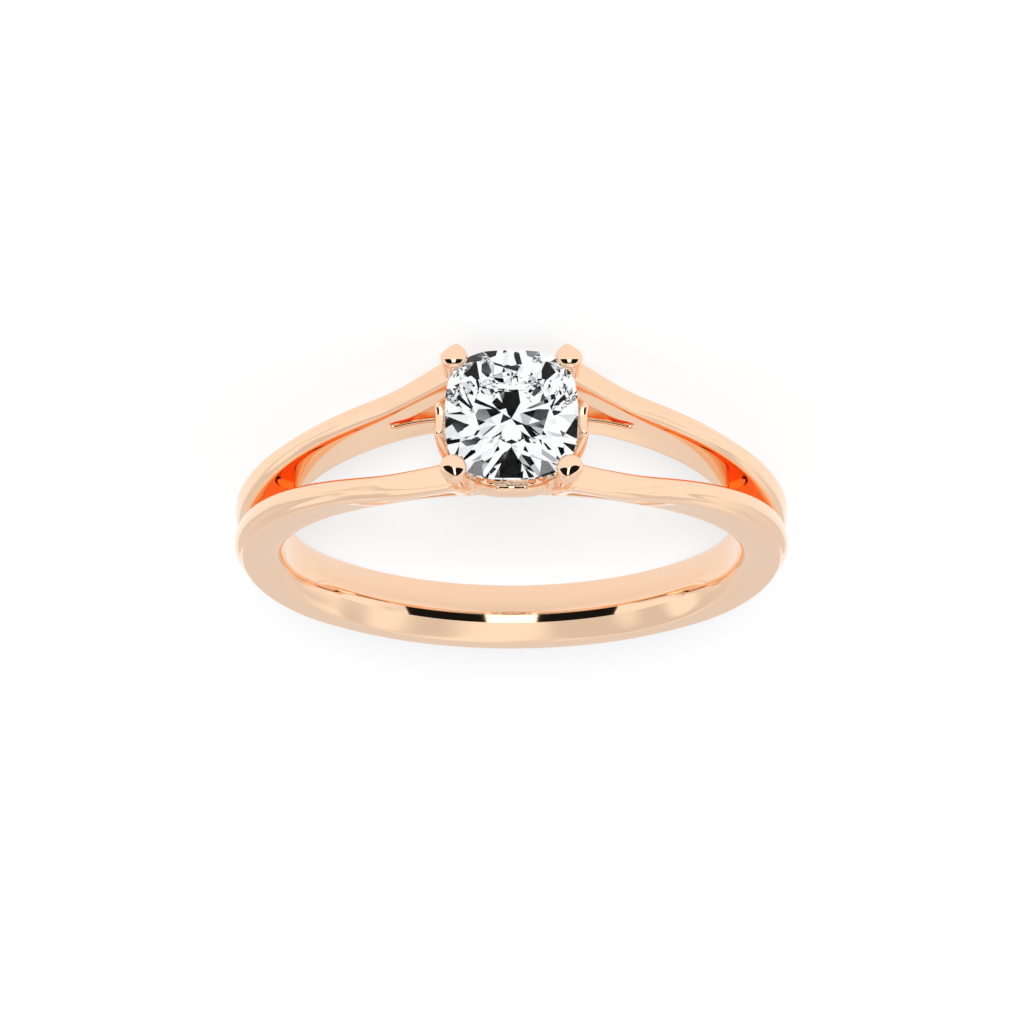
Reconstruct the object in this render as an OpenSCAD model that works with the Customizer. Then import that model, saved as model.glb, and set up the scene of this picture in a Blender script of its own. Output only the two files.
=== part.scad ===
// Split shank ring with a cushion cut stone in four claws and a scalloped gallery.
// The finger axis is Z, the head points toward -Y, and the origin is the centre of the finger hole.
// Angles along the shank are measured from the head, so the back of the shank is at 180 degrees.

/* [Finger hole] */
// Diameter of the finger hole
finger_d = 17.3; // [15:0.1:21]

/* [Shank] */
// Width of the shank at the back
band_w = 2.46; // [2:0.02:3]
// Radial thickness of the shank
band_t = 1.85; // [1.5:0.05:2.3]
// Height of the dome across the outside of the shank
dome_h = 0.22; // [0.1:0.02:0.35]
// Radius of the long outer edges
outer_edge_r = 0.36; // [0.25:0.01:0.5]
// Radius of the long edges beside the finger, at the back
inner_edge_r = 0.62; // [0.3:0.01:0.7]
// Radius of the same edges beside the head
head_edge_r = 0.25; // [0.1:0.01:0.35]

/* [Split] */
// Angle from the head where the groove begins
groove_angle = 108; // [90:1:120]
// Angle from the head where the groove becomes a gap
gap_angle = 67; // [55:1:75]
// Width of the gap between the two strands at the finger, beside the head
gap_foot_w = 1.7; // [1.2:0.05:2]
// Width of the gap between the two strands at their crests, beside the head
gap_crest_w = 3.15; // [2.6:0.05:3.3]
// Width of the pair of strands at the finger, beside the head
foot_w = 3.54; // [3:0.02:3.7]
// Width of the pair of strands at their crests, beside the head
crest_w = 5.1; // [4.4:0.02:5.3]

/* [Shoulders] */
// Angle from the head where the crests begin to climb
climb_angle = 30; // [24:1:36]
// Height that the crests gain on their way to the claws
climb_h = 1.54; // [1:0.02:1.7]
// Radial thickness of the arc under each shoulder window
foot_t = 0.93; // [0.75:0.01:1.1]
// Height of a shoulder window where it meets the claws
window_h = 1.5; // [0.6:0.05:1.6]
// Length of a shoulder window
window_l = 2.05; // [1.2:0.05:2.4]
// Radial thickness of the two arcs that carry on under the stone
bridge_t = 0.85; // [0.6:0.05:0.95]

/* [Stone] */
// Size of the stone across the finger
stone_w = 4.7; // [4.2:0.05:5]
// Size of the stone along the finger
stone_l = 4.88; // [4.4:0.05:5.2]
// Height of the stone's girdle above the finger
stone_rise = 3.45; // [3.1:0.05:4]
// Height of the crown above the girdle
crown_h = 0.68; // [0.5:0.02:0.8]
// Thickness of the girdle
girdle_t = 0.12; // [0.08:0.01:0.2]
// Depth of the pavilion below the girdle
pavilion_h = 2.06; // [1.8:0.02:2.3]
// Width of the table as a share of the stone
table_share = 0.58; // [0.5:0.01:0.66]
// Gap between the stone and its seat in the claws
seat_gap = 0.05; // [0.03:0.01:0.08]

/* [Claws] */
// Distance between claw tips across the finger
claw_pitch_w = 4.12; // [3.9:0.02:4.3]
// Distance between claw tips along the finger
claw_pitch_l = 4.24; // [4:0.02:4.5]
// Distance between claw feet across the finger
claw_foot_pitch_w = 3.8; // [3.4:0.02:4]
// Distance between claw feet along the finger
claw_foot_pitch_l = 3; // [2.6:0.02:3.3]
// Diameter of a claw
claw_d = 0.8; // [0.7:0.02:0.9]
// Height of the claw tips above the girdle
claw_h = 0.56; // [0.4:0.02:0.64]
// Width of a claw's swollen tip
claw_tip_d = 0.98; // [0.8:0.02:1.05]
// How much a claw tip narrows toward its outer point, as a share of its width
claw_point = 0.5; // [0:0.05:0.7]

/* [Gallery] */
// Thickness of the gallery wall
wall_t = 0.4; // [0.3:0.02:0.5]
// Height of the gallery wall between petal and claw
rail_h = 0.8; // [0.5:0.05:1]
// Height of the gallery's lower edge above the finger
rail_rise = 1.35; // [1.2:0.05:1.6]
// Distance that each petal stands out past the girdle
petal_out = 0.37; // [0.1:0.01:0.45]
// Width of a petal
petal_w = 2.4; // [1.8:0.05:2.6]
// Gap in height between the petals and the girdle
petal_drop = 0.3; // [0.2:0.02:0.5]
// Height of a petal's lower edge above the lower edge of the wall beside it
petal_lift = 0.75; // [0:0.05:0.9]
// Depth of the notch between the two lobes of a petal
notch_h = 0.22; // [0.05:0.01:0.25]

/* [Hidden] */

finger_r = finger_d / 2;
back_r = finger_r + band_t;
girdle_r = finger_r + stone_rise;
tip_r = girdle_r + claw_h;
head_angle = asin(claw_pitch_w / 2 / girdle_r);

// What a cutting solid reaches past the surface that it cuts
reach = 0.4;
// Angle between sections along the shank
section_step = 6;
// Gold inside the finger hole that the drill takes away
bore_skin = 0.03;
// Points on a rounded edge, and on half of the dome
edge_points = 4;
dome_points = 3;
// Angle where an outer edge turns into the dome, and the dome's width there as a share of the crests
edge_end = 75;
dome_share = 0.74;
// How sharply the crests and the gap between them open toward the head: larger opens later
crest_power = 2.65;
gap_power = 2.1;
groove_power = 0.6;
// Angle over which the shank steps down from the claws to the arcs under the stone
step_angle = 0.8;
// Sections along the arcs under the stone
arc_count = 4;
// Half the width of the bottom of the groove
groove_half_w = 0.04;
// Rounding of the lips of the gap, as a share of the outer edges
lip_share = 0.7;
// Corner shape of the stone's outline: 2 is an ellipse, and larger is squarer
cushion = 3.1;
// Corner shape of the table, which is rounder
table_cushion = 2.6;
// Corner shape of the gallery, squarer than the stone so that it meets the claws
rail_cushion = 4;

function clamp(u) = max(0, min(1, u));
function smooth(u) = let(c = clamp(u)) c * c * (3 - 2 * c);
function mix(a, b, u) = a + (b - a) * u;

// A point at an angle from the head, a radius from the finger axis and a height along it
function ring_point(a, r, w) = [r * sin(a), -r * cos(a), w];

// How far the shank has opened toward the head, from 0 at the groove's start to 1 at the claws
function opening(a) = clamp((groove_angle - a) / (groove_angle - head_angle));
// Outer radius of the crests
function crest_r(a) = back_r + climb_h * pow(clamp((climb_angle - a) / (climb_angle - head_angle)), 2);
// Half widths of the shank beside the finger and at the crests
function half_foot(a) = mix(band_w, foot_w, smooth((gap_angle - a) / (gap_angle - head_angle))) / 2;
function half_crest(a) = mix(band_w, crest_w, pow(opening(a), crest_power)) / 2;
// Half widths of the gap beside the finger and at the crests
function gap_foot(a) = gap_foot_w / 2 * sin(90 * clamp((gap_angle - a) / (gap_angle - head_angle)));
function gap_crest(a) = gap_crest_w / 2 * pow(opening(a), gap_power);
// Radius of the edges beside the finger
function soft_edge(a) = mix(inner_edge_r, head_edge_r, smooth(opening(a)));
// Radius of the bottom of the groove, which reaches the finger where the gap begins
function groove_r(a) = mix(finger_r - reach, back_r,
    pow(clamp((a - gap_angle) / (groove_angle - gap_angle)), groove_power));

// Joins sections of equal point count into one closed solid with flat ends
module loft(sections, closed = false) {
    n = len(sections[0]);
    m = len(sections);
    walls = [for (i = [0 : m - (closed ? 1 : 2)], j = [0 : n - 1])
        let(here = i * n, there = (i + 1) % m * n, next = (j + 1) % n)
        each [[here + j, there + next, here + next], [here + j, there + j, there + next]]];
    caps = closed ? [] : [[for (j = [0 : n - 1]) j], [for (j = [n - 1 : -1 : 0]) (m - 1) * n + j]];
    polyhedron(points = [for (s = sections) each s], faces = concat(walls, caps), convexity = 10);
}

// Half of the shank's section as [half width, radius], from the finger to the middle of the dome.
// Under the stone the shank is a low arc with a flat outside.
function half_section(a) = let(
        under = a < head_angle - step_angle / 2,
        foot = half_foot(a),
        soft = soft_edge(a),
        crest = under ? foot : half_crest(a),
        edge = under ? head_edge_r : outer_edge_r,
        dome = under ? 0 : dome_h,
        top = (under ? finger_r + bridge_t : crest_r(a)) - dome)
    concat(
        [for (i = [0 : edge_points - 1]) let(t = -90 + 90 * i / (edge_points - 1))
            [foot - soft * (1 - cos(t)), finger_r - bore_skin + soft * (1 + sin(t))]],
        [for (i = [0 : edge_points - 1]) let(t = edge_end * i / (edge_points - 1))
            [crest - edge * (1 - cos(t)), top - edge * (1 - sin(t))]],
        [for (i = [1 : dome_points]) let(u = 1 - i / dome_points)
            [crest * u * dome_share, top + dome * (1 - u * u)]]);

function whole_section(a) = let(half = half_section(a), n = len(half))
    concat(half, [for (i = [n - 2 : -1 : 0]) [-half[i][0], half[i][1]]]);

// The shank with both strands in one, before the gap is cut: high round the finger, low under the stone
module shank_blank() {
    count = ceil((360 - 2 * head_angle) / section_step);
    low_angle = head_angle - step_angle;
    high = [for (i = [0 : count]) mix(head_angle, 360 - head_angle, i / count)];
    low = [for (i = [0 : arc_count]) mix(360 - low_angle, 360 + low_angle, i / arc_count)];
    loft([for (at = concat(high, low)) let(from_head = abs(180 - abs(at - 180)))
        [for (p = whole_section(from_head)) ring_point(at, p[1], p[0])]], closed = true);
}

// Half of the section of the gap between the strands, with flared lips that round the crests
function gap_section(a) = let(
        foot = max(gap_foot(a), groove_half_w),
        crest = max(gap_crest(a), foot + groove_half_w),
        lip = outer_edge_r * lip_share,
        low = groove_r(a),
        top = max(crest_r(a) - lip, low + groove_half_w),
        wall = [[foot, low], [(foot + crest) / 2, (low + top) / 2]],
        flare = [for (i = [0 : edge_points - 1]) let(t = edge_end * i / (edge_points - 1))
            [crest + lip * (1 - cos(t)), top + lip * sin(t)]],
        rim = [[crest + 2 * lip, crest_r(a) + reach]],
        half = concat(wall, flare, rim),
        n = len(half))
    concat(half, [for (i = [n - 1 : -1 : 0]) [-half[i][0], half[i][1]]]);

// The gap between the strands, right across the head, and the groove at each of its ends
module strand_gap() {
    count = ceil(2 * groove_angle / section_step);
    loft([for (i = [0 : count]) let(at = mix(-groove_angle, groove_angle, i / count))
        [for (p = gap_section(abs(at))) ring_point(at, p[1], p[0])]]);
}

// The slim window between the climbing shoulder and the arc on the finger, from the claw to its tip
module shoulder_window() {
    near = claw_foot_pitch_w / 2;
    tip = near + claw_d / 2 + window_l;
    function arc_top(x) = -sqrt(pow(finger_r + foot_t, 2) - x * x);
    linear_extrude(height = 2 * crest_w, center = true)
        polygon([[near, arc_top(near)], [tip, arc_top(tip)], [near, arc_top(near) - window_h]]);
}

// One claw: [height share, share of the way from its shaft's width to its tip's, share of that width]
CLAW_LEVELS = [
    [0, 0, 0.5], [0.12, 0, 0.78], [0.3, 0, 0.96], [0.6, 0, 1], [0.74, 0.3, 1], [0.82, 0.8, 1],
    [0.87, 1, 1], [0.92, 1, 0.95], [0.96, 1, 0.78], [0.985, 1, 0.52], [1, 1, 0.2]];

function claw_center(u) = [
    mix(claw_foot_pitch_w, claw_pitch_w, clamp(u / 0.85)) / 2,
    mix(claw_foot_pitch_l, claw_pitch_l, clamp(u / 0.85)) / 2];

module claw() {
    foot = finger_r + reach / 2;
    sides = 14;
    loft([for (level = CLAW_LEVELS) let(
            c = claw_center(level[0]),
            r = mix(claw_d, claw_tip_d, level[1]) * level[2] / 2)
        [for (j = [0 : sides - 1]) let(
                t = 360 * j / sides,
                narrow = 1 - claw_point * level[1] * pow(max(0, sin(t)), 2))
            [c[0] + r * cos(t) * narrow, -mix(foot, tip_r, level[0]), c[1] + r * sin(t)]]]);
}

// Outline of a cushion: the power sets its corners
function cushion_point(t, half_w, half_l, power) = [
    half_w * sign(cos(t)) * pow(abs(cos(t)), 2 / power),
    half_l * sign(sin(t)) * pow(abs(sin(t)), 2 / power)];

// Section of the gallery wall: [share of its thickness, outward from the middle, share of its height]
WALL_SECTION = [
    [-0.3, 0], [-0.5, 0.25], [-0.5, 0.8], [-0.25, 1], [0.25, 1], [0.5, 0.8], [0.45, 0.25], [0.25, 0]];
// How far a petal has already swelled at its lower edge, and how far its notch draws it in, as shares
foot_swell = 0.92;
notch_in = 0.22;

// How far a petal has risen at a distance from the middle of its side, from 0 to 1
function petal(q) = sqrt(1 - pow(clamp(2 * abs(q) / petal_w), 3));
// The notch between the two lobes of a petal, from 0 to 1
function notch(q) = exp(-pow(8 * q / petal_w, 2));

// The scalloped gallery: a wall round the pavilion that swells into a two lobed petal on each side
module gallery() {
    steps = 80;
    half_w = claw_foot_pitch_w / 2 + wall_t / 8;
    half_l = (claw_foot_pitch_l + claw_pitch_l) / 4 + wall_t / 2;
    rail = finger_r + rail_rise;
    rim = girdle_r - petal_drop;
    loft([for (i = [0 : steps - 1]) let(
            c = cushion_point(360 * (i + 0.5) / steps, half_w, half_l, rail_cushion),
            on_end = abs(c[0]) / half_w > abs(c[1]) / half_l,
            q = on_end ? c[1] : c[0],
            out = on_end ? [sign(c[0]), 0] : [0, sign(c[1])],
            reached = on_end ? half_w : half_l,
            wanted = (on_end ? stone_w : stone_l) / 2 + petal_out - wall_t / 2,
            swell = (wanted - reached) * petal(q) * (1 - notch_in * notch(q)),
            low = rail + petal_lift * petal(q),
            high = mix(rail + rail_h, rim, petal(q)) - notch_h * notch(q))
        [for (s = WALL_SECTION) let(
                p = c + out * swell * mix(foot_swell, 1, s[1]) + c / norm(c) * wall_t * s[0])
            [p[0], -mix(low, high, s[1]), p[1]]]], closed = true);
}

// Heights and widths of the rings of facet corners, as shares of the crown, pavilion and outline
star_height = 0.56;
star_reach = 0.48;
pavilion_height = 0.26;
pavilion_reach = 0.24;
mains = 8;

// A ring of facet corners on the stone, as many as asked for and turned by a share of their spacing
function stone_ring(count, turn, half_w, half_l, share, h) = [for (i = [0 : count - 1]) let(
        corner = mix(table_cushion, cushion, share),
        p = cushion_point(360 * (i + turn) / count, half_w * share, half_l * share, corner))
    [p[0], -h, p[1]]];

// Cushion brilliant with a table, stars, mains, halves, a girdle and a pavilion, grown by a clearance
module cushion_stone(grow = 0) {
    half_w = stone_w / 2 + grow;
    half_l = stone_l / 2 + grow;
    up = girdle_r + girdle_t / 2 + grow / 2;
    down = girdle_r - girdle_t / 2 - grow / 2;
    table = up + crown_h + grow;
    culet = down - pavilion_h - grow;
    edge = 4 * mains;
    points = concat(
        stone_ring(mains, 0.5, half_w, half_l, table_share, table),
        stone_ring(mains, 0, half_w, half_l,
            mix(table_share, 1, star_reach), mix(up, table, star_height)),
        stone_ring(edge, 0, half_w, half_l, 1, up),
        stone_ring(edge, 0, half_w, half_l, 1, down),
        stone_ring(mains, 0.5, half_w, half_l, pavilion_reach, mix(culet, down, pavilion_height)),
        [[0, -culet, 0]]);
    // First corner of each ring below the table
    star = mains;
    top = 2 * mains;
    bottom = top + edge;
    belly = bottom + edge;
    tip = belly + mains;
    last = mains - 1;
    table_face = [[for (i = [0 : last]) i]];
    stars = [for (i = [0 : last]) [i, (i + last) % mains, star + i]];
    crown_mains = [for (i = [0 : last]) let(mid = top + (4 * i + 2) % edge)
        each [[i, star + i, mid], [i, mid, star + (i + 1) % mains]]];
    crown_halves = [for (i = [0 : last], k = [-2 : 1]) let(j = 4 * i + k + edge)
        [star + i, top + j % edge, top + (j + 1) % edge]];
    girdle = [for (i = [0 : edge - 1]) let(next = (i + 1) % edge)
        each [[top + i, bottom + i, bottom + next], [top + i, bottom + next, top + next]]];
    pavilion_halves = [for (i = [0 : last], k = [0 : 3]) let(j = 4 * i + k)
        [belly + i, bottom + (j + 1) % edge, bottom + j]];
    pavilion_mains = [for (i = [0 : last]) let(before = belly + (i + last) % mains)
        each [[belly + i, bottom + 4 * i, before], [belly + i, before, tip]]];
    faces = concat(table_face, stars, crown_mains, crown_halves, girdle, pavilion_halves, pavilion_mains);
    outward = [for (f = faces) [for (i = [len(f) - 1 : -1 : 0]) f[i]]];
    polyhedron(points = points, faces = outward, convexity = 4);
}

// The shank with its two strands, its open shoulders and the two arcs that carry on under the stone
module split_shank() {
    difference() {
        difference() {
            shank_blank();
            strand_gap();
        }
        shoulder_window();
        mirror([1, 0, 0]) shoulder_window();
    }
}

// The shank with its four claws
module clawed_shank() {
    split_shank();
    claw();
    mirror([1, 0, 0]) claw();
    mirror([0, 0, 1]) claw();
    mirror([1, 0, 0]) mirror([0, 0, 1]) claw();
}

// Cast gold: the shank, its two strands, the claws and the gallery are one solid
module ring_body() {
    color("#f0c09c") difference() {
        difference() {
            union() {
                clawed_shank();
                gallery();
            }
            cylinder(r = finger_r, h = 2 * crest_w, center = true, $fn = 180);
        }
        cushion_stone(seat_gap);
    }
}

module center_stone() {
    color("#f4f6fa") cushion_stone();
}

ring_body();
center_stone();
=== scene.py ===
import math
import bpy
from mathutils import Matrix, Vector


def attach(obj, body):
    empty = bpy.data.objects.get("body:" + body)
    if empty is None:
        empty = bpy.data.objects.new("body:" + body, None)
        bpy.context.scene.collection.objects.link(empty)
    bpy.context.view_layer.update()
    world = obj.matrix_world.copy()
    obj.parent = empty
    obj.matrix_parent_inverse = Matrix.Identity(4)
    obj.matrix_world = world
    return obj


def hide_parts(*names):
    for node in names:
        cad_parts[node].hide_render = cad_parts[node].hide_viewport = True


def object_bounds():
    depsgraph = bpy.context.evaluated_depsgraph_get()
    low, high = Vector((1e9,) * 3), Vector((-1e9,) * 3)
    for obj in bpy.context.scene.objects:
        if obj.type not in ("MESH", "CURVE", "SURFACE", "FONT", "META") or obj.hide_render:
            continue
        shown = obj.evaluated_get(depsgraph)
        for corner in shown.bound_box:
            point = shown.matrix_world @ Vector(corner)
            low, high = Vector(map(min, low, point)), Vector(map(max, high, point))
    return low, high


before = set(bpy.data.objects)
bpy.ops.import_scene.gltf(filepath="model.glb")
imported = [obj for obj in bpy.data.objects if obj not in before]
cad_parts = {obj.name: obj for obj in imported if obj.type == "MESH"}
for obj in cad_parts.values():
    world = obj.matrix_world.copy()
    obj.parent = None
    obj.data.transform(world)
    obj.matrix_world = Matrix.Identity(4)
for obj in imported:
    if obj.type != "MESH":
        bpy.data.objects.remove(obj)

from types import SimpleNamespace

import bmesh
import bpy
from mathutils import Matrix, Vector

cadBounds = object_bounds()
scene = bpy.context.scene
mm = 0.001
print("frame loaded")


def linearColor(hexText):  # sRGB hex to linear
    channels = [int(hexText[i:i + 2], 16) / 255 for i in (1, 3, 5)]
    return [c / 12.92 if c <= 0.04045 else ((c + 0.055) / 1.055) ** 2.4 for c in channels] + [1]


def addNode(tree, kind, settings=None, inputs=None, links=None):
    node = tree.nodes.new(kind)
    for name, value in (settings or {}).items():
        setattr(node, name, value)
    for name, value in (inputs or {}).items():
        node.inputs[name].default_value = value
    for name, socket in (links or {}).items():
        tree.links.new(socket, node.inputs[name])
    return node


def newMaterial(name):
    material = bpy.data.materials.new(name)
    material.use_nodes = True
    material.node_tree.nodes.clear()
    return material, material.node_tree


noise3d, smoothly = {"noise_dimensions": "3D"}, {"interpolation_type": "SMOOTHSTEP"}


def clamp(value):
    return max(0.0, min(1.0, value))


def mix(a, b, share):
    return a + (b - a) * share


def smooth(value):
    c = clamp(value)
    return c * c * (3 - 2 * c)


def rise(a, start, end):  # 0 at the start and 1 at the end; it falls where the start is the larger angle
    return smooth((a - start) / (end - start))


# Polished 14 carat rose gold: copper rich, buffed to a mirror, so crevices glow orange.
# Real buffing marks are too fine to show, so the pattern is drawn at about a third of a millimetre
gold = {"color": "#FFD9B9", "roughness": 0.04, "buffing": 0.03, "buffScale": 0.35, "buffDetail": 3}
goldMaterial, tree = newMaterial("polished rose gold")
place = addNode(tree, "ShaderNodeTexCoord")
buffing = addNode(tree, "ShaderNodeTexNoise", noise3d, {
    "Scale": 1 / (gold["buffScale"] * mm), "Detail": gold["buffDetail"]}, {"Vector": place.outputs["Object"]})
gloss = addNode(tree, "ShaderNodeMapRange", {}, {
    "To Min": gold["roughness"], "To Max": gold["roughness"] + gold["buffing"]},
    {"Value": buffing.outputs[0]})
surface = addNode(tree, "ShaderNodeBsdfPrincipled", {}, {
    "Base Color": linearColor(gold["color"]), "Metallic": 1.0}, {"Roughness": gloss.outputs[0]})
addNode(tree, "ShaderNodeOutputMaterial", {}, {}, {"Surface": surface.outputs[0]})

# Faceted colourless diamond: clear, with the high refraction that makes its facets flash.
# A low specular tint keeps the white studio from veiling the table
diamond = {"clear": "#FFFFFF", "cloud": "#F3F6FB", "cloudScale": 1.6, "cloudDetail": 2, "ior": 2.417,
           "tint": 0.05}
diamondMaterial, tree = newMaterial("cut diamond")
place = addNode(tree, "ShaderNodeTexCoord")
cloud = addNode(tree, "ShaderNodeTexNoise", noise3d, {
    "Scale": 1 / (diamond["cloudScale"] * mm), "Detail": diamond["cloudDetail"]},
    {"Vector": place.outputs["Object"]})
body = addNode(tree, "ShaderNodeMix", {"data_type": "RGBA"}, {
    6: linearColor(diamond["clear"]), 7: linearColor(diamond["cloud"])}, {0: cloud.outputs[0]})
surface = addNode(tree, "ShaderNodeBsdfPrincipled", {}, {
    "Roughness": 0.0, "IOR": diamond["ior"], "Transmission Weight": 1.0,
    "Specular Tint": [diamond["tint"]] * 3 + [1]}, {"Base Color": body.outputs[2]})
addNode(tree, "ShaderNodeOutputMaterial", {}, {}, {"Surface": surface.outputs[0]})
print("gold and diamond")

# Where the head stands: the girdle's distance from the finger axis, and the pitch of the claw tips across and
# along the finger. All lengths below are in millimetres and all angles in degrees, which the shank counts
# from the head
head = {"girdleRadius": 12.1, "clawPitch": (4.12, 4.24)}
headAngle = math.degrees(math.asin(head["clawPitch"][0] / 2 / head["girdleRadius"]))

# The shank. A power above 1 lets a size grow late on the way to the head, and one below 1 early.
# A pair of angles is where a change starts and ends, and a fade is degrees before and after the groove's end
shank = {
    "fingerRadius": 8.65, "backWidth": 2.46, "thickness": 1.85, "domeHeight": 0.22,
    # both strands together, at the finger and at their crests, which climb to the claws
    "footWidth": 3.57, "footPower": 1.15, "crestWidth": 5.2, "crestPower": 2.68,
    "climbAngle": 30, "climbHeight": 1.54,
    # long edges: beside the finger at the back, beside the head, outside, and outside beside the groove
    "innerEdge": 0.62, "headEdge": 0.25, "outerEdge": 0.36, "tightEdge": 0.22,
    "edgeGrows": (14, 28), "edgeTightens": (66, 82), "edgeRelaxes": (144, 124),
    # groove between the strands, and the gap that it opens into
    "grooveAngle": 108, "grooveHalf": 0.04, "grooveFade": (16, 0), "groovePower": 0.75, "grooveLeast": 0.01,
    "gapAngle": 69, "gapFoot": 1.56, "gapFootTurn": 47, "gapFootPower": 0.62, "gapEdge": 0.1,
    "gapCrest": 3.0, "gapCrestAngle": 80, "gapCrestPower": 1.25, "gapCrestDrop": 0.3,
    "wallBow": 0.7, "bowEnds": 50,
    # rounded lips of gap and groove, and the dome that each strand has for itself beside the groove
    "lip": 0.25, "grooveLip": 0.4, "lipGrows": (18, 35), "lipFade": (30, 2),
    "hump": 1.15, "humpOuterPower": 2.6, "humpInnerDrop": 0.2, "humpGrows": (30, 60), "humpFade": (18, 6),
    # low arcs under the stone
    "bridgeThickness": 0.85, "bridgeDome": 0.02, "bridgeLip": 0.1, "bridgeStep": 0.8,
    # window between the shoulder and the arc on the finger. It opens at its start angle, and its near end and
    # its tip are distances across the finger
    "arcThickness": 0.78, "arcTaper": 0.14, "arcTaperTurn": 15, "windowStart": 12, "windowNear": 1.9,
    "windowTip": 4.35, "windowHeight": 1.5, "windowLeast": 0.26, "windowFade": 14, "windowEdge": 0.07,
    # inner face, rounded for comfort at the back: an arc up to a crease and a convex side past it
    "comfortRadius": 1.12, "comfortHalf": 0.54, "comfortTurn": (98, 143), "faceTilt": 33, "faceHeight": 0.62,
}
backRadius = shank["fingerRadius"] + shank["thickness"]
windowAngle = math.degrees(math.asin(shank["windowTip"] / (shank["fingerRadius"] + shank["arcThickness"])))
sameAngle = 0.01

# Rows of a half section: inner face 0 to 8, side 9 to 13, outer edge and dome 14 to 23, and lip and gap wall
# 24 to 35, which close up where there is no groove. The window opens between each of its rows and the next
creaseRow = 3
windowRows = (10, 31)
grooveRows = 12

# Columns round the shank, closest together beside the window and the gap
stops = [0, headAngle - shank["bridgeStep"], headAngle, shank["windowStart"], windowAngle, shank["gapAngle"],
         shank["grooveAngle"], 180]
counts = [4, 1, 2, 12, 34, 20, 28]
columns = [mix(start, end, i / count) for start, end, count in zip(stops, stops[1:], counts)
           for i in range(count)] + [180]


def opening(a):
    return clamp((shank["grooveAngle"] - a) / (shank["grooveAngle"] - headAngle))


def isUnderStone(a):
    return a < headAngle - shank["bridgeStep"] / 2


def besideGroove(a, before, after):
    return rise(a, shank["grooveAngle"] + after, shank["grooveAngle"] - before)


def crestRadius(a):
    climb = clamp((shank["climbAngle"] - a) / (shank["climbAngle"] - headAngle))
    return backRadius + shank["climbHeight"] * climb ** 2


def outerEdgeRadius(a):  # tight beside the head, and tightest beside the groove
    plain = mix(shank["headEdge"], shank["outerEdge"], rise(a, *shank["edgeGrows"]))
    return mix(plain, shank["tightEdge"], rise(a, *shank["edgeTightens"]) * rise(a, *shank["edgeRelaxes"]))


def windowRadii(a):  # lower and upper edge of the window, whose top is a straight line from near end to tip
    s = shank
    low = s["fingerRadius"] + s["arcThickness"] - s["arcTaper"] * clamp((windowAngle - a) / s["arcTaperTurn"])
    near, tip = s["windowNear"], s["windowTip"]
    top = math.sqrt(low ** 2 - near ** 2) + s["windowHeight"]
    fall = (top - math.sqrt(low ** 2 - tip ** 2)) / (tip - near)
    t = math.radians(a)
    return low, (top + fall * near) / (math.cos(t) + fall * math.sin(t))


def wallRows(a, low, high):  # radii of a wall's rows, with two of them on the window's edges
    under, over = windowRadii(min(a, windowAngle))
    over = max(over, under + shank["windowLeast"])
    plain = mix(low, high, 0.4), mix(low, high, 0.6)
    relax = rise(a, windowAngle, windowAngle + shank["windowFade"])
    under, over = mix(under, plain[0], relax), mix(over, plain[1], relax)
    if isUnderStone(a):
        under, over = plain
    return [mix(low, under, 0.5), under, over, mix(over, high, 0.33), mix(over, high, 0.67)]


def sectionSizes(a):  # sizes of the half section: W is a distance from its middle, R one from the finger axis
    s, bridge = shank, isUnderStone(a)
    p = SimpleNamespace(isOpen=a < s["gapAngle"] - sameAngle, hasGroove=a < s["grooveAngle"] - sameAngle)
    p.foot = mix(s["backWidth"], s["footWidth"], smooth(opening(a)) ** s["footPower"]) / 2
    p.crest = p.foot if bridge else mix(s["backWidth"], s["crestWidth"], opening(a) ** s["crestPower"]) / 2
    p.innerEdge = mix(s["innerEdge"], s["headEdge"], smooth(opening(a)))
    p.edge = s["headEdge"] if bridge else outerEdgeRadius(a)
    p.dome = s["bridgeDome"] if bridge else s["domeHeight"]
    p.top = (s["fingerRadius"] + s["bridgeThickness"] if bridge else crestRadius(a)) - p.dome
    p.turn = 90 - math.degrees(math.atan2(2 * p.dome, p.crest - p.edge / 2))
    p.edgeW, p.edgeR = edgePoint(p, p.turn)
    # Gap wall, whose lower end is on the finger hole where the gap is open
    p.gapLow = s["gapFoot"] / 2 * clamp((s["gapAngle"] - a) / s["gapFootTurn"]) ** s["gapFootPower"]
    spread = clamp((s["gapCrestAngle"] - a) / (s["gapCrestAngle"] - headAngle)) ** s["gapCrestPower"]
    p.gapTop = s["gapCrest"] / 2 * spread + s["grooveHalf"] * besideGroove(a, *s["grooveFade"])
    p.gapCrestR = crestRadius(a) - s["gapCrestDrop"]
    p.bow = mix(s["wallBow"], 1, rise(a, s["bowEnds"], s["gapAngle"]))
    p.gapFoot = p.gapLow if p.isOpen else 0.0
    p.gapEdge = min(s["gapEdge"], p.gapFoot / 2)
    filled = clamp((a - s["gapAngle"]) / (s["grooveAngle"] - s["gapAngle"])) ** s["groovePower"]
    p.grooveR = mix(s["fingerRadius"], backRadius, filled)
    # Lip between gap and dome
    p.lip = mix(s["lip"], s["grooveLip"], rise(a, *s["lipGrows"])) * besideGroove(a, *s["lipFade"])
    p.lipW = p.gapTop + p.lip
    if bridge:
        p.lip = s["bridgeLip"]
        p.lipW = gapHalf(p, s["fingerRadius"] + s["bridgeThickness"]) + p.lip
    p.split = besideGroove(a, *s["humpFade"]) * rise(a, *s["humpGrows"])
    p.lipR = domeRadius(p, p.lipW)
    return p


def edgePoint(p, turn):  # on the rounded outer edge, turned from the side toward the dome
    t = math.radians(turn)
    return p.crest - p.edge * (1 - math.cos(t)), p.top - p.edge * (1 - math.sin(t))


def gapHalf(p, r):
    height = clamp((r - shank["fingerRadius"]) / (p.gapCrestR - shank["fingerRadius"]))
    return mix(p.gapLow, p.gapTop, height ** p.bow)


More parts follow.
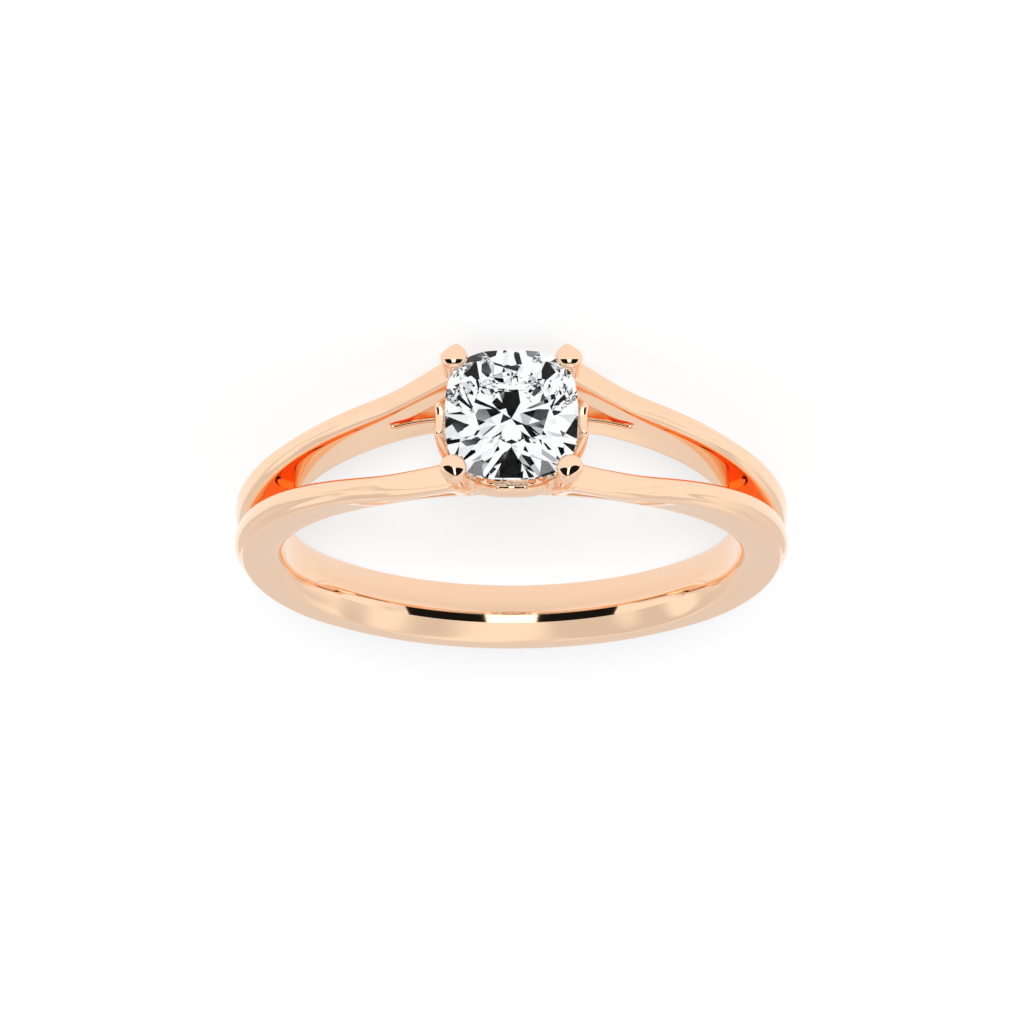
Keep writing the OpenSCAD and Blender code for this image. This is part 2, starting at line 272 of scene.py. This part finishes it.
def domeRadius(p, w):  # the strands share one dome, and beside the groove each has its own
    middle = (p.lipW + p.edgeW) / 2
    shared = 1 - (w / p.edgeW) ** 2
    away = (w - middle) / (p.edgeW - middle)
    drop = away ** shank["humpOuterPower"] if away > 0 else shank["humpInnerDrop"] * away ** 2
    return p.edgeR + p.dome * mix(shared, shank["hump"] * (1 - drop), p.split)


def comfortShare(a):  # how far the inner face is rounded: wholly at the back, and not at all at the shoulders
    return rise(a, *shank["comfortTurn"])


def comfortRise(w):
    return shank["comfortRadius"] - math.sqrt(shank["comfortRadius"] ** 2 - w ** 2)


def comfortFace(foot):  # the arc up to its crease, and then the convex side
    radius, half = shank["fingerRadius"], shank["comfortHalf"]
    points = [(half * share, radius + comfortRise(half * share)) for share in (0, 0.37, 0.7, 1)]
    low, high = points[-1][1], radius + shank["faceHeight"]
    bend = low + (foot - half) * math.tan(math.radians(shank["faceTilt"]))
    for t in (0.2, 0.4, 0.6, 0.8, 1):
        points.append((mix(mix(half, foot, t), foot, t), mix(mix(low, bend, t), mix(bend, high, t), t)))
    return points


def innerFace(a, p):  # from the gap, or the middle where there is none, to the end of the rounded edge
    radius = shank["fingerRadius"]
    bevel = 0.29 * p.gapEdge  # half way round the gap's edge
    points = [(p.gapFoot + bevel, radius + bevel)]
    for share in (0.0 if p.isOpen else 0.2, 0.5):
        points.append((mix(p.gapFoot + p.gapEdge, p.foot - p.innerEdge, share), radius))
    for i in range(6):
        t = math.radians(-90 + 18 * i)
        points.append((p.foot - p.innerEdge * (1 - math.cos(t)), radius + p.innerEdge * (1 + math.sin(t))))
    comfort = comfortShare(a)
    if comfort > 0:
        points = [(mix(flat[0], curved[0], comfort), mix(flat[1], curved[1], comfort))
                  for flat, curved in zip(points, comfortFace(p.foot))]
    return points


def gapWall(a, p, first):  # down from the lip to the section's first point, or to the bottom of the groove
    high, highW = p.lipR - p.lip, p.lipW - p.lip
    if p.isOpen:
        low = shank["fingerRadius"] + p.gapEdge
        lowW, rows = gapHalf(p, low), wallRows(a, low, high)
    else:
        low = min(p.grooveR, high - shank["grooveLeast"])
        lowW, rows = 0.0, [mix(low, high, i / 6) for i in (1, 2, 3, 4, 5)]
    points = [(mix(lowW, highW, ((r - low) / (high - low)) ** p.bow), r) for r in reversed(rows)]
    if p.isOpen:
        return points + [(lowW, low), first]
    return points + [(mix(lowW, highW, 0.06), mix(low, high, 0.05)), (lowW, low)]


def halfSection(a):  # from the finger round the outside and back down the gap
    p = sectionSizes(a)
    points = innerFace(a, p)
    low, high = points[-1][1], p.top - p.edge
    points += [(mix(p.foot, p.crest, (r - low) / (high - low)), r) for r in wallRows(a, low, high)]
    points += [edgePoint(p, p.turn * i / 5) for i in range(6)]
    for i in (1, 2, 3, 4):
        w = mix(p.edgeW, p.lipW, i / 5)
        points.append((w, domeRadius(p, w)))
    if not p.hasGroove:  # its rows close up on the middle of the dome
        return points + [(0.0, domeRadius(p, 0))] * grooveRows
    for i in range(5):
        t = math.radians(22.5 * i)
        points.append((p.lipW - p.lip * math.sin(t), p.lipR - p.lip * (1 - math.cos(t))))
    return points + gapWall(a, p, points[0])


def onCrease(e):  # edges of the finished mesh that lie on the crisp part of the inner crease
    offCrease, offFinger, crisp = 0.02, 0.2, 0.5
    for v in e.verts:
        x, y, w = v.co / mm
        if abs(abs(w) - shank["comfortHalf"]) > offCrease:
            return False
        if math.hypot(x, y) > shank["fingerRadius"] + offFinger:
            return False
        if comfortShare(math.degrees(math.atan2(abs(x), -y))) < crisp:
            return False
    return True


def makeShank():
    rows = len(halfSection(90))
    tiny, merging = 1e-5, 1e-8
    bm = bmesh.new()
    chain = [bm.verts.new((0, -1, k * tiny)) for k in range(rows)]
    for a, b in zip(chain, chain[1:]):
        bm.edges.new((a, b))
    bmesh.ops.spin(bm, geom=bm.verts[:] + bm.edges[:], cent=(0, 0, 0), axis=(0, 0, 1),
                   angle=math.pi, steps=len(columns) - 1, use_merge=False)
    # The half turn becomes half of the shank: each row and column goes to its place in the sections
    rowLayer = bm.verts.layers.int.new("row")
    columnLayer = bm.verts.layers.int.new("column")
    sections = [halfSection(a) for a in columns]
    for v in bm.verts:
        row = round(v.co.z / tiny)
        column = round(math.atan2(abs(v.co.x), -v.co.y) / math.pi * (len(columns) - 1))
        v[rowLayer], v[columnLayer] = row, column
        w, r = sections[column][row]
        t = math.radians(columns[column])
        v.co = Vector((r * math.sin(t), -r * math.cos(t), w)) * mm
    # The inner crease stays crisp where the inner face is rounded
    creaseLayer = bm.edges.layers.float.new("crease_edge")
    for e in bm.edges:
        if all(v[rowLayer] == creaseRow for v in e.verts):
            e[creaseLayer] = comfortShare(min(columns[v[columnLayer]] for v in e.verts))
    # Window through the shoulder: the faces between its rows leave both walls, and a tunnel joins the rims
    first, last = columns.index(shank["windowStart"]), columns.index(windowAngle)
    holes = []
    for low in windowRows:
        faces = [f for f in bm.faces if {v[rowLayer] for v in f.verts} == {low, low + 1}
                 and all(first <= v[columnLayer] <= last for v in f.verts)]
        rims = [e for f in faces for e in f.edges if sum(g in faces for g in e.link_faces) == 1]
        holes.append((faces, list(dict.fromkeys(rims))))
    bmesh.ops.delete(bm, geom=[f for faces, _ in holes for f in faces], context="FACES")
    rims = [e for _, edges in holes for e in edges]
    bmesh.ops.bridge_loops(bm, edges=rims)
    bmesh.ops.bevel(bm, geom=rims, offset=shank["windowEdge"] * mm, offset_type="OFFSET", segments=2,
                    profile=0.5, affect="EDGES", material=-1)
    bmesh.ops.remove_doubles(bm, verts=bm.verts, dist=merging)
    for axis in ("X", "Z"):
        bmesh.ops.mirror(bm, geom=bm.verts[:] + bm.edges[:] + bm.faces[:], axis=axis, merge_dist=merging)
    bmesh.ops.remove_doubles(bm, verts=bm.verts, dist=merging)
    bmesh.ops.recalc_face_normals(bm, faces=bm.faces)
    return bm


def nextRing(bm, ring, edges):  # extrudes a closed ring and gives the new one in the same order
    made = bmesh.ops.extrude_edge_only(bm, edges=edges)["geom"]
    new = {g for g in made if isinstance(g, bmesh.types.BMVert)}
    ring = [next(e.other_vert(v) for e in v.link_edges if e.other_vert(v) in new) for v in ring]
    edges = [e for e in made if isinstance(e, bmesh.types.BMEdge) and e.verts[0] in new and e.verts[1] in new]
    return ring, edges


# Claws: a round post whose tip is a low dome, pointed outwards and tallest on the stone's side
claw = {
    "footPitch": (3.8, 3.0), "width": 0.84, "tipWidth": 0.98, "footRadius": 8.85, "tipRadius": 12.66,
    "tipHeight": 0.52, "point": 0.5, "lean": 0.12, "skew": 0.1, "sides": 24,
    # share of the post's height, share of its width, share of the way to the tip's width
    "post": [(0, 0.5, 0), (0.06, 0.62, 0), (0.14, 0.78, 0), (0.23, 0.88, 0), (0.35, 0.96, 0), (0.5, 0.98, 0),
             (0.68, 1, 0), (0.8, 1, 0.05), (0.87, 1, 0.25), (0.93, 1, 0.6), (0.97, 1, 0.85), (1, 1, 0.97)],
    # drop from the very top in millimetres, share of the tip's width
    "tip": [(0.4, 1), (0.3, 1), (0.24, 0.985), (0.185, 0.95), (0.145, 0.89), (0.112, 0.81), (0.088, 0.72),
            (0.06, 0.6), (0.034, 0.45), (0.015, 0.3), (0.004, 0.15)],
}


def clawLevels():  # radius from the finger axis, width, swell, share of the tip's width
    c = claw
    under = c["tipRadius"] - c["tipHeight"]
    for share, width, swell in c["post"]:
        yield mix(c["footRadius"], under, share), mix(c["width"], c["tipWidth"], swell) * width, swell, 1
    for drop, width in c["tip"]:
        yield c["tipRadius"] - drop, c["tipWidth"] * width, 1, width


def makeClaw():
    c = claw
    bm = bmesh.new()
    bmesh.ops.create_circle(bm, segments=c["sides"], radius=mm)
    ring = sorted(bm.verts, key=lambda v: math.atan2(v.co.y, v.co.x))
    foot = edges = bm.edges[:]
    for index, (radius, width, swell, share) in enumerate(clawLevels()):
        if index:
            ring, edges = nextRing(bm, ring, edges)
        climb = clamp((radius - c["footRadius"]) / (c["tipRadius"] - c["footRadius"] - c["tipHeight"]))
        x, w = [mix(a, b, climb) / 2 for a, b in zip(c["footPitch"], head["clawPitch"])]
        for i, v in enumerate(ring):
            t = 2 * math.pi * i / c["sides"]
            outward = max(0.0, math.sin(t))
            narrow = 1 - c["point"] * swell * outward ** 2
            across = width / 2 * math.cos(t) * narrow - c["skew"] * swell * share * outward
            along = width / 2 * math.sin(t) - c["lean"] * (1 - share)
            v.co = Vector((x + across, -radius, w + along)) * mm
    bmesh.ops.edgeloop_fill(bm, edges=foot)
    bmesh.ops.pointmerge(bm, verts=ring, merge_co=sum((v.co for v in ring), Vector()) / len(ring))
    bmesh.ops.recalc_face_normals(bm, faces=bm.faces)
    return bm


# The stone, drawn with its table up and its girdle's middle at height 0, before it goes to its seat
stone = {
    "width": 4.7, "length": 4.88, "cushion": 3.1, "table": 0.58, "tableCushion": 2.6, "tableHeight": 0.74,
    "girdle": 0.18, "culetDepth": 2.12, "starShare": 0.45, "lowerHalves": 0.78, "mains": 8, "outline": 96,
    "seatGap": 0.04,
}

# Gallery wall, with a petal on each side. A pair is for the petals across the finger and for those along it
gallery = {
    "wall": 0.4, "railHeight": 0.8, "railRadius": 10.0, "corner": 4, "steps": 240, "footSwell": 0.92,
    "rimRadius": (11.8, 11.66), "petalOut": (0.47, 0.3), "petalWidth": 2.4, "petalLift": 0.75,
    "petalPower": 3, "lobeWidth": 0.94, "notch": 0.3, "notchIn": 0.17, "rimIn": 0.03,
    # outward share of the wall's thickness, share of its height
    "section": [(-0.3, 0), (-0.45, 0.06), (-0.5, 0.2), (-0.5, 0.5), (-0.5, 0.84), (-0.42, 0.96), (-0.25, 1),
                (0, 1), (0.25, 1), (0.42, 0.96), (0.5, 0.84), (0.5, 0.5), (0.48, 0.2), (0.4, 0.06), (0.25, 0),
                (0, 0)],
}


def cushionPoint(t, halfW, halfL, power):
    c, q = math.cos(t), math.sin(t)
    return math.copysign(halfW * abs(c) ** (2 / power), c), math.copysign(halfL * abs(q) ** (2 / power), q)


def petalRise(q):
    return math.sqrt(1 - clamp(2 * abs(q) / gallery["petalWidth"]) ** gallery["petalPower"])


def lobe(q):  # each petal's rim has two lobes with a notch between them
    return math.sin(math.pi * min(1, abs(q) / gallery["lobeWidth"])) ** 2


def galleryPoint(turn, thick, height):
    g = gallery
    halfW = claw["footPitch"][0] / 2 + g["wall"] / 8
    halfL = (claw["footPitch"][1] + head["clawPitch"][1]) / 4 + g["wall"] / 2
    c = cushionPoint(turn, halfW, halfL, g["corner"])
    onEnd = abs(c[0]) / halfW > abs(c[1]) / halfL
    q = c[1] if onEnd else c[0]
    out = (math.copysign(1, c[0]), 0) if onEnd else (0, math.copysign(1, c[1]))
    petal, notch = petalRise(q), (1 - lobe(q)) * petalRise(q)
    reached = halfW if onEnd else halfL
    wanted = (stone["width"] if onEnd else stone["length"]) / 2 + g["petalOut"][not onEnd] - g["wall"] / 2
    swell = (wanted - reached) * petal - (g["rimIn"] * height + g["notchIn"] * notch) * height
    low = g["railRadius"] + g["petalLift"] * petal
    high = mix(g["railRadius"] + g["railHeight"], g["rimRadius"][not onEnd], petal) - g["notch"] * notch
    length = math.hypot(*c)
    x, w = [c[i] + out[i] * swell * mix(g["footSwell"], 1, height) + c[i] / length * g["wall"] * thick
            for i in (0, 1)]
    return Vector((x, -mix(low, high, height), w)) * mm


def makeGallery():
    bm = bmesh.new()
    bmesh.ops.create_circle(bm, segments=gallery["steps"], radius=mm)
    ring = sorted(bm.verts, key=lambda v: math.atan2(v.co.y, v.co.x))
    first = edges = bm.edges[:]
    for index, (thick, height) in enumerate(gallery["section"]):
        if index:
            ring, edges = nextRing(bm, ring, edges)
        for i, v in enumerate(ring):
            v.co = galleryPoint(2 * math.pi * (i + 0.5) / gallery["steps"], thick, height)
    bmesh.ops.bridge_loops(bm, edges=first + edges)
    bmesh.ops.recalc_face_normals(bm, faces=bm.faces)
    return bm


def cushionRadius(angle, halfW, halfL, power):
    c, q = abs(math.cos(angle)) / halfW, abs(math.sin(angle)) / halfL
    return (c ** power + q ** power) ** (-1 / power)


def cutStone(grow=0.0):  # the girdle's prism, cut down one facet at a time as a cutter does
    s = stone
    halfW, halfL = s["width"] / 2 + grow, s["length"] / 2 + grow
    top, culet, edge = s["tableHeight"] + grow, -s["culetDepth"] - grow, s["girdle"] / 2
    turn = 2 * math.pi / s["mains"]
    spare, tick = 0.1, 0.02  # rough stone below the culet, and a small step along the girdle
    onPlane, merging, flat = 1e-5, 1e-4, 0.05  # lengths that count as nothing, and a bend that does

    def girdlePoint(k, height):
        r = cushionRadius(k * turn, halfW, halfL, s["cushion"])
        return Vector((r * math.cos(k * turn), r * math.sin(k * turn), height))

    def tablePoint(k):
        r = s["table"] * cushionRadius(k * turn, s["width"] / 2, s["length"] / 2, s["tableCushion"])
        return Vector((r * math.cos(k * turn), r * math.sin(k * turn), top))

    def mainPlane(k, near, height):  # through a point near the axis and the girdle, level along the girdle
        step = girdlePoint(k + tick, 0) - girdlePoint(k - tick, 0)
        normal = step.cross(girdlePoint(k, height) - near).normalized()
        return near, normal if normal.dot(near) > 0 else -normal

    def facet(a, b, c):
        normal = (b - a).cross(c - a).normalized()
        return a, normal if normal.dot(a) > 0 else -normal

    def meeting(one, two, height):  # where two planes meet at a height
        (p, n), (q, m) = one, two
        a, b = n.dot(p) - n.z * height, m.dot(q) - m.z * height
        d = n.x * m.y - n.y * m.x
        return Vector(((a * m.y - b * n.y) / d, (n.x * b - m.x * a) / d, height))

    bm = bmesh.new()
    for v in bmesh.ops.create_circle(bm, segments=s["outline"], radius=1, cap_ends=True)["verts"]:
        angle = math.atan2(v.co.y, v.co.x)
        r = cushionRadius(angle, halfW, halfL, s["cushion"])
        v.co = Vector((r * math.cos(angle), r * math.sin(angle), culet - spare))
    raised = bmesh.ops.extrude_face_region(bm, geom=bm.faces[:])["geom"]
    bmesh.ops.translate(bm, vec=(0, 0, top - culet + spare),
                        verts=[v for v in raised if isinstance(v, bmesh.types.BMVert)])
    bmesh.ops.recalc_face_normals(bm, faces=bm.faces)
    tip = Vector((0, 0, culet))
    cuts = []
    for k in range(s["mains"]):
        crown = [mainPlane(k + i, tablePoint(k + i), edge) for i in (0, 1)]
        base = [mainPlane(k + i, tip, -edge) for i in (0, 1)]
        star = meeting(crown[0], crown[1], mix(top, edge, s["starShare"]))
        joint = meeting(base[0], base[1], mix(-edge, culet, s["lowerHalves"]))
        cuts += [crown[0], base[0], facet(tablePoint(k), tablePoint(k + 1), star)]
        for i in (0, 1):
            cuts.append(facet(girdlePoint(k + i, edge), girdlePoint(k + 0.5, edge), star))
            cuts.append(facet(girdlePoint(k + i, -edge), girdlePoint(k + 0.5, -edge), joint))
    for point, normal in cuts:
        made = bmesh.ops.bisect_plane(bm, geom=bm.verts[:] + bm.edges[:] + bm.faces[:], dist=onPlane,
                                      plane_co=point, plane_no=normal, clear_outer=True)["geom_cut"]
        bmesh.ops.edgeloop_fill(bm, edges=[g for g in made if isinstance(g, bmesh.types.BMEdge)
                                           and len(g.link_faces) == 1])
    bmesh.ops.remove_doubles(bm, verts=bm.verts, dist=merging)
    bmesh.ops.dissolve_limit(bm, angle_limit=math.radians(flat), verts=bm.verts, edges=bm.edges)
    for v in bm.verts:
        v.co = Vector((v.co.x, -(head["girdleRadius"] + v.co.z), v.co.y)) * mm
    bmesh.ops.recalc_face_normals(bm, faces=bm.faces)
    return bm


def objectFrom(bm, name):
    mesh = bpy.data.meshes.new(name)
    bm.to_mesh(mesh)
    bm.free()
    piece = bpy.data.objects.new(name, mesh)
    scene.collection.objects.link(piece)
    return piece


def applyModifiers(piece):
    bpy.context.view_layer.update()
    mesh = bpy.data.meshes.new_from_object(piece.evaluated_get(bpy.context.evaluated_depsgraph_get()))
    piece.modifiers.clear()
    piece.data = mesh


def roundOff(piece):
    rounding = piece.modifiers.new("smooth", "SUBSURF")
    rounding.levels = rounding.render_levels = 1
    applyModifiers(piece)


def mirroredCopy(bm, x, z):
    copy = bm.copy()
    bmesh.ops.scale(copy, vec=(x, 1, z), verts=copy.verts)
    bmesh.ops.recalc_face_normals(copy, faces=copy.faces)
    return copy


# The gold is one body: the claws and the gallery are joined to the shank, and the stone's seat is cut out
ringBody = objectFrom(makeShank(), "goldRing")
roundOff(ringBody)
print("shank", len(ringBody.data.polygons))
oneClaw = makeClaw()
helpers = [objectFrom(mirroredCopy(oneClaw, x, z), "claw") for x in (1, -1) for z in (1, -1)]
oneClaw.free()
helpers.append(objectFrom(makeGallery(), "gallery"))
for helper in helpers:
    roundOff(helper)
helpers.append(objectFrom(cutStone(stone["seatGap"]), "seat"))
for helper in helpers:
    join = ringBody.modifiers.new("join", "BOOLEAN")
    join.operation = "DIFFERENCE" if helper.name.startswith("seat") else "UNION"
    join.object, join.solver = helper, "MANIFOLD"
    applyModifiers(ringBody)
    bpy.data.objects.remove(helper)
    print("joined", len(ringBody.data.polygons))
ringBody.data.materials.clear()
ringBody.data.materials.append(goldMaterial)

# Shaded smooth but for sharp edges, and sharp too along the inner crease
finish = {"sharpBend": 32, "creaseBend": 5}
bm = bmesh.new()
bm.from_mesh(ringBody.data)
for e in bm.edges:
    bend = math.degrees(e.calc_face_angle()) if len(e.link_faces) == 2 else 180
    e.smooth = bend < finish["sharpBend"] and not (bend > finish["creaseBend"] and onCrease(e))
for f in bm.faces:
    f.smooth = True
print("open edges", sum(not e.is_manifold for e in bm.edges), "volume", bm.calc_volume() / mm ** 3)
bm.to_mesh(ringBody.data)
bm.free()
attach(ringBody, "root")
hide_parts("ring_body")
ringBody.visible_transmission = False  # no gold shows through the photo's stone

gem = objectFrom(cutStone(), "cushionDiamond")
gem.data.materials.append(diamondMaterial)
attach(gem, "root")
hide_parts("center_stone")
print("stone", len(gem.data.polygons), "facets")

# Floor that the ring lies on: a sheet of white acrylic, lit from below so that shadows stay faint
board = {"color": "#8C8C8C", "glow": 0.632, "roughness": 0.9, "shine": 0.1, "halfSize": 20000,
         "clearance": 0.01}
floorMaterial, tree = newMaterial("lit white acrylic")
surface = addNode(tree, "ShaderNodeBsdfPrincipled", {}, {
    "Base Color": linearColor(board["color"]), "Roughness": board["roughness"],
    "Specular IOR Level": board["shine"], "Emission Color": (1, 1, 1, 1), "Emission Strength": board["glow"]})
addNode(tree, "ShaderNodeOutputMaterial", {}, {}, {"Surface": surface.outputs[0]})
bm = bmesh.new()
bmesh.ops.create_grid(bm, x_segments=1, y_segments=1, size=board["halfSize"] * mm)
bmesh.ops.translate(bm, vec=(0, 0, cadBounds[0][2] - board["clearance"] * mm), verts=bm.verts)
floor = objectFrom(bm, "floor")
floor.data.materials.append(floorMaterial)
floor.visible_transmission = False

# Low lamp on the head's side, behind a wide diffuser: a faint soft shadow falls past the back of the ring
lamp = {"power": 7.5, "height": 16, "softness": 12}
lampData = bpy.data.lights.new("softLamp", "SUN")
lampData.energy, lampData.angle = lamp["power"], math.radians(lamp["softness"])
softLamp = bpy.data.objects.new("softLamp", lampData)
scene.collection.objects.link(softLamp)
softLamp.rotation_euler = (math.radians(90 - lamp["height"]), 0, 0)
softLamp.visible_glossy = softLamp.visible_transmission = False
print("floor and lamp")

# Camera: turned over so that the head is at the top, above the floor, fitted to the ring's outline
view = {"tilt": 20.69, "target": (0, -2.33, 0), "distance": 160, "pixelsPerMm": 26.59, "shiftPixels": 0.5,
        "picture": 1024, "sensor": 36, "clipStart": 10}
tilt = math.radians(view["tilt"])
right = Vector((-1, 0, 0))
up = Vector((0, -math.sin(tilt), -math.cos(tilt)))
back = Vector((0, -math.cos(tilt), math.sin(tilt)))
camera = bpy.data.objects.new("camera", bpy.data.cameras.new("camera"))
scene.collection.objects.link(camera)
camera.matrix_world = Matrix.Translation((Vector(view["target"]) + back * view["distance"]) * mm) @ Matrix(
    (right, up, back)).transposed().to_4x4()
camera.data.sensor_width = view["sensor"]
camera.data.lens = view["pixelsPerMm"] * view["distance"] / view["picture"] * view["sensor"]
camera.data.shift_x = view["shiftPixels"] / view["picture"]
camera.data.clip_start = view["clipStart"] * mm
scene.camera = camera
print("camera")

# Studio light: white all round and a little uneven, with two dark flags above the head and a white panel
# between them. Flags and panel end at angles from the line through the head
studio = {
    "level": 1.05, "cloudy": 0.74, "cloudScale": 2.2, "cloudRange": (0.35, 0.65), "low": 0.8, "lowFrom": 0.2,
    "dark": 0.01, "flagTop": 42, "flagEnd": 55, "panel": 2.0, "panelTop": 31, "panelHalf": 13, "soft": 0.02,
}
world = bpy.data.worlds.new("studio")
scene.world = world
world.use_nodes = True
tree = world.node_tree
tree.nodes.clear()
least = 0.001
direction = addNode(tree, "ShaderNodeTexCoord").outputs["Generated"]
axes = addNode(tree, "ShaderNodeSeparateXYZ", {}, {}, {"Vector": direction})
toward = addNode(tree, "ShaderNodeMath", {"operation": "MULTIPLY"}, {1: -1.0}, {0: axes.outputs["Y"]})
ahead = addNode(tree, "ShaderNodeMath", {"operation": "MAXIMUM"}, {1: least}, {0: toward.outputs[0]})
front = addNode(tree, "ShaderNodeMath", {"operation": "GREATER_THAN"}, {1: least}, {0: toward.outputs[0]})
aside = addNode(tree, "ShaderNodeMath", {"operation": "ABSOLUTE"}, {}, {0: axes.outputs["X"]})
across, above = [addNode(tree, "ShaderNodeMath", {"operation": "DIVIDE"}, {}, {0: side, 1: ahead.outputs[0]})
                 for side in (aside.outputs[0], axes.outputs["Z"])]
limits = {}
for name, side in (("flagTop", above), ("flagEnd", across), ("panelTop", above), ("panelHalf", across)):
    middle = math.tan(math.radians(studio[name]))
    limits[name] = addNode(tree, "ShaderNodeMapRange", smoothly, {
        "From Min": middle - studio["soft"], "From Max": middle + studio["soft"],
        "To Min": 1.0, "To Max": 0.0}, {"Value": side.outputs[0]})
# Each share is the one before it cut by one more limit: two limits leave the flags, and all four the panel
shares = [front]
for limit in limits.values():
    shares.append(addNode(tree, "ShaderNodeMath", {"operation": "MULTIPLY"}, {}, {
        0: shares[-1].outputs[0], 1: limit.outputs[0]}))
flags, panel = shares[2], shares[4]
clouds = addNode(tree, "ShaderNodeTexNoise", noise3d, {
    "Scale": studio["cloudScale"], "Detail": 0.0}, {"Vector": direction})
uneven = addNode(tree, "ShaderNodeMapRange", smoothly, {
    "From Min": studio["cloudRange"][0], "From Max": studio["cloudRange"][1], "To Min": studio["cloudy"],
    "To Max": studio["level"]}, {"Value": clouds.outputs[0]})
surround = addNode(tree, "ShaderNodeMapRange", smoothly, {
    "From Min": studio["lowFrom"], "From Max": 1.0, "To Max": studio["low"]}, {
    "Value": axes.outputs["Y"], "To Min": uneven.outputs[0]})
shaded = addNode(tree, "ShaderNodeMapRange", {}, {"To Max": studio["dark"]}, {
    "Value": flags.outputs[0], "To Min": surround.outputs[0]})
strength = addNode(tree, "ShaderNodeMapRange", {}, {"To Max": studio["panel"]}, {
    "Value": panel.outputs[0], "To Min": shaded.outputs[0]})

# Through the stone the studio breaks up into dark, grey and bright patches, which its facets turn into
# sparkle. The camera itself is the darkest of them
sparkle = {"scale": 6, "split": 0.44, "soft": 0.02, "dark": 0.0, "greyRange": (0.4, 0.55), "grey": 0.66,
           "bright": 1.05, "viewer": 7, "viewerSoft": 1}
patches = addNode(tree, "ShaderNodeTexNoise", noise3d, {"Scale": sparkle["scale"], "Detail": 0.0}, {
    "Vector": direction})
lit = addNode(tree, "ShaderNodeMapRange", smoothly, {
    "From Min": sparkle["greyRange"][0], "From Max": sparkle["greyRange"][1], "To Min": sparkle["grey"],
    "To Max": sparkle["bright"]}, {"Value": patches.outputs[0]})
flash = addNode(tree, "ShaderNodeMapRange", smoothly, {
    "From Min": sparkle["split"] - sparkle["soft"], "From Max": sparkle["split"] + sparkle["soft"],
    "To Min": sparkle["dark"]}, {"Value": patches.outputs[0], "To Max": lit.outputs[0]})
facing = addNode(tree, "ShaderNodeVectorMath", {"operation": "DOT_PRODUCT"}, {1: back}, {0: direction})
viewer = addNode(tree, "ShaderNodeMapRange", smoothly, {
    "From Min": math.cos(math.radians(sparkle["viewer"] + sparkle["viewerSoft"])),
    "From Max": math.cos(math.radians(sparkle["viewer"])), "To Max": 0.0}, {
    "Value": facing.outputs["Value"], "To Min": flash.outputs[0]})
path = addNode(tree, "ShaderNodeLightPath")
seen = addNode(tree, "ShaderNodeMapRange", {}, {}, {
    "Value": path.outputs["Is Transmission Ray"], "To Min": strength.outputs[0], "To Max": viewer.outputs[0]})
glow = addNode(tree, "ShaderNodeBackground", {}, {"Color": (1, 1, 1, 1)}, {"Strength": seen.outputs[0]})
addNode(tree, "ShaderNodeOutputWorld", {}, {}, {"Surface": glow.outputs[0]})
scene.cycles.max_bounces = 40
scene.cycles.glossy_bounces = 36
scene.cycles.transmission_bounces = 24
scene.view_settings.view_transform = "Standard"
print("studio")
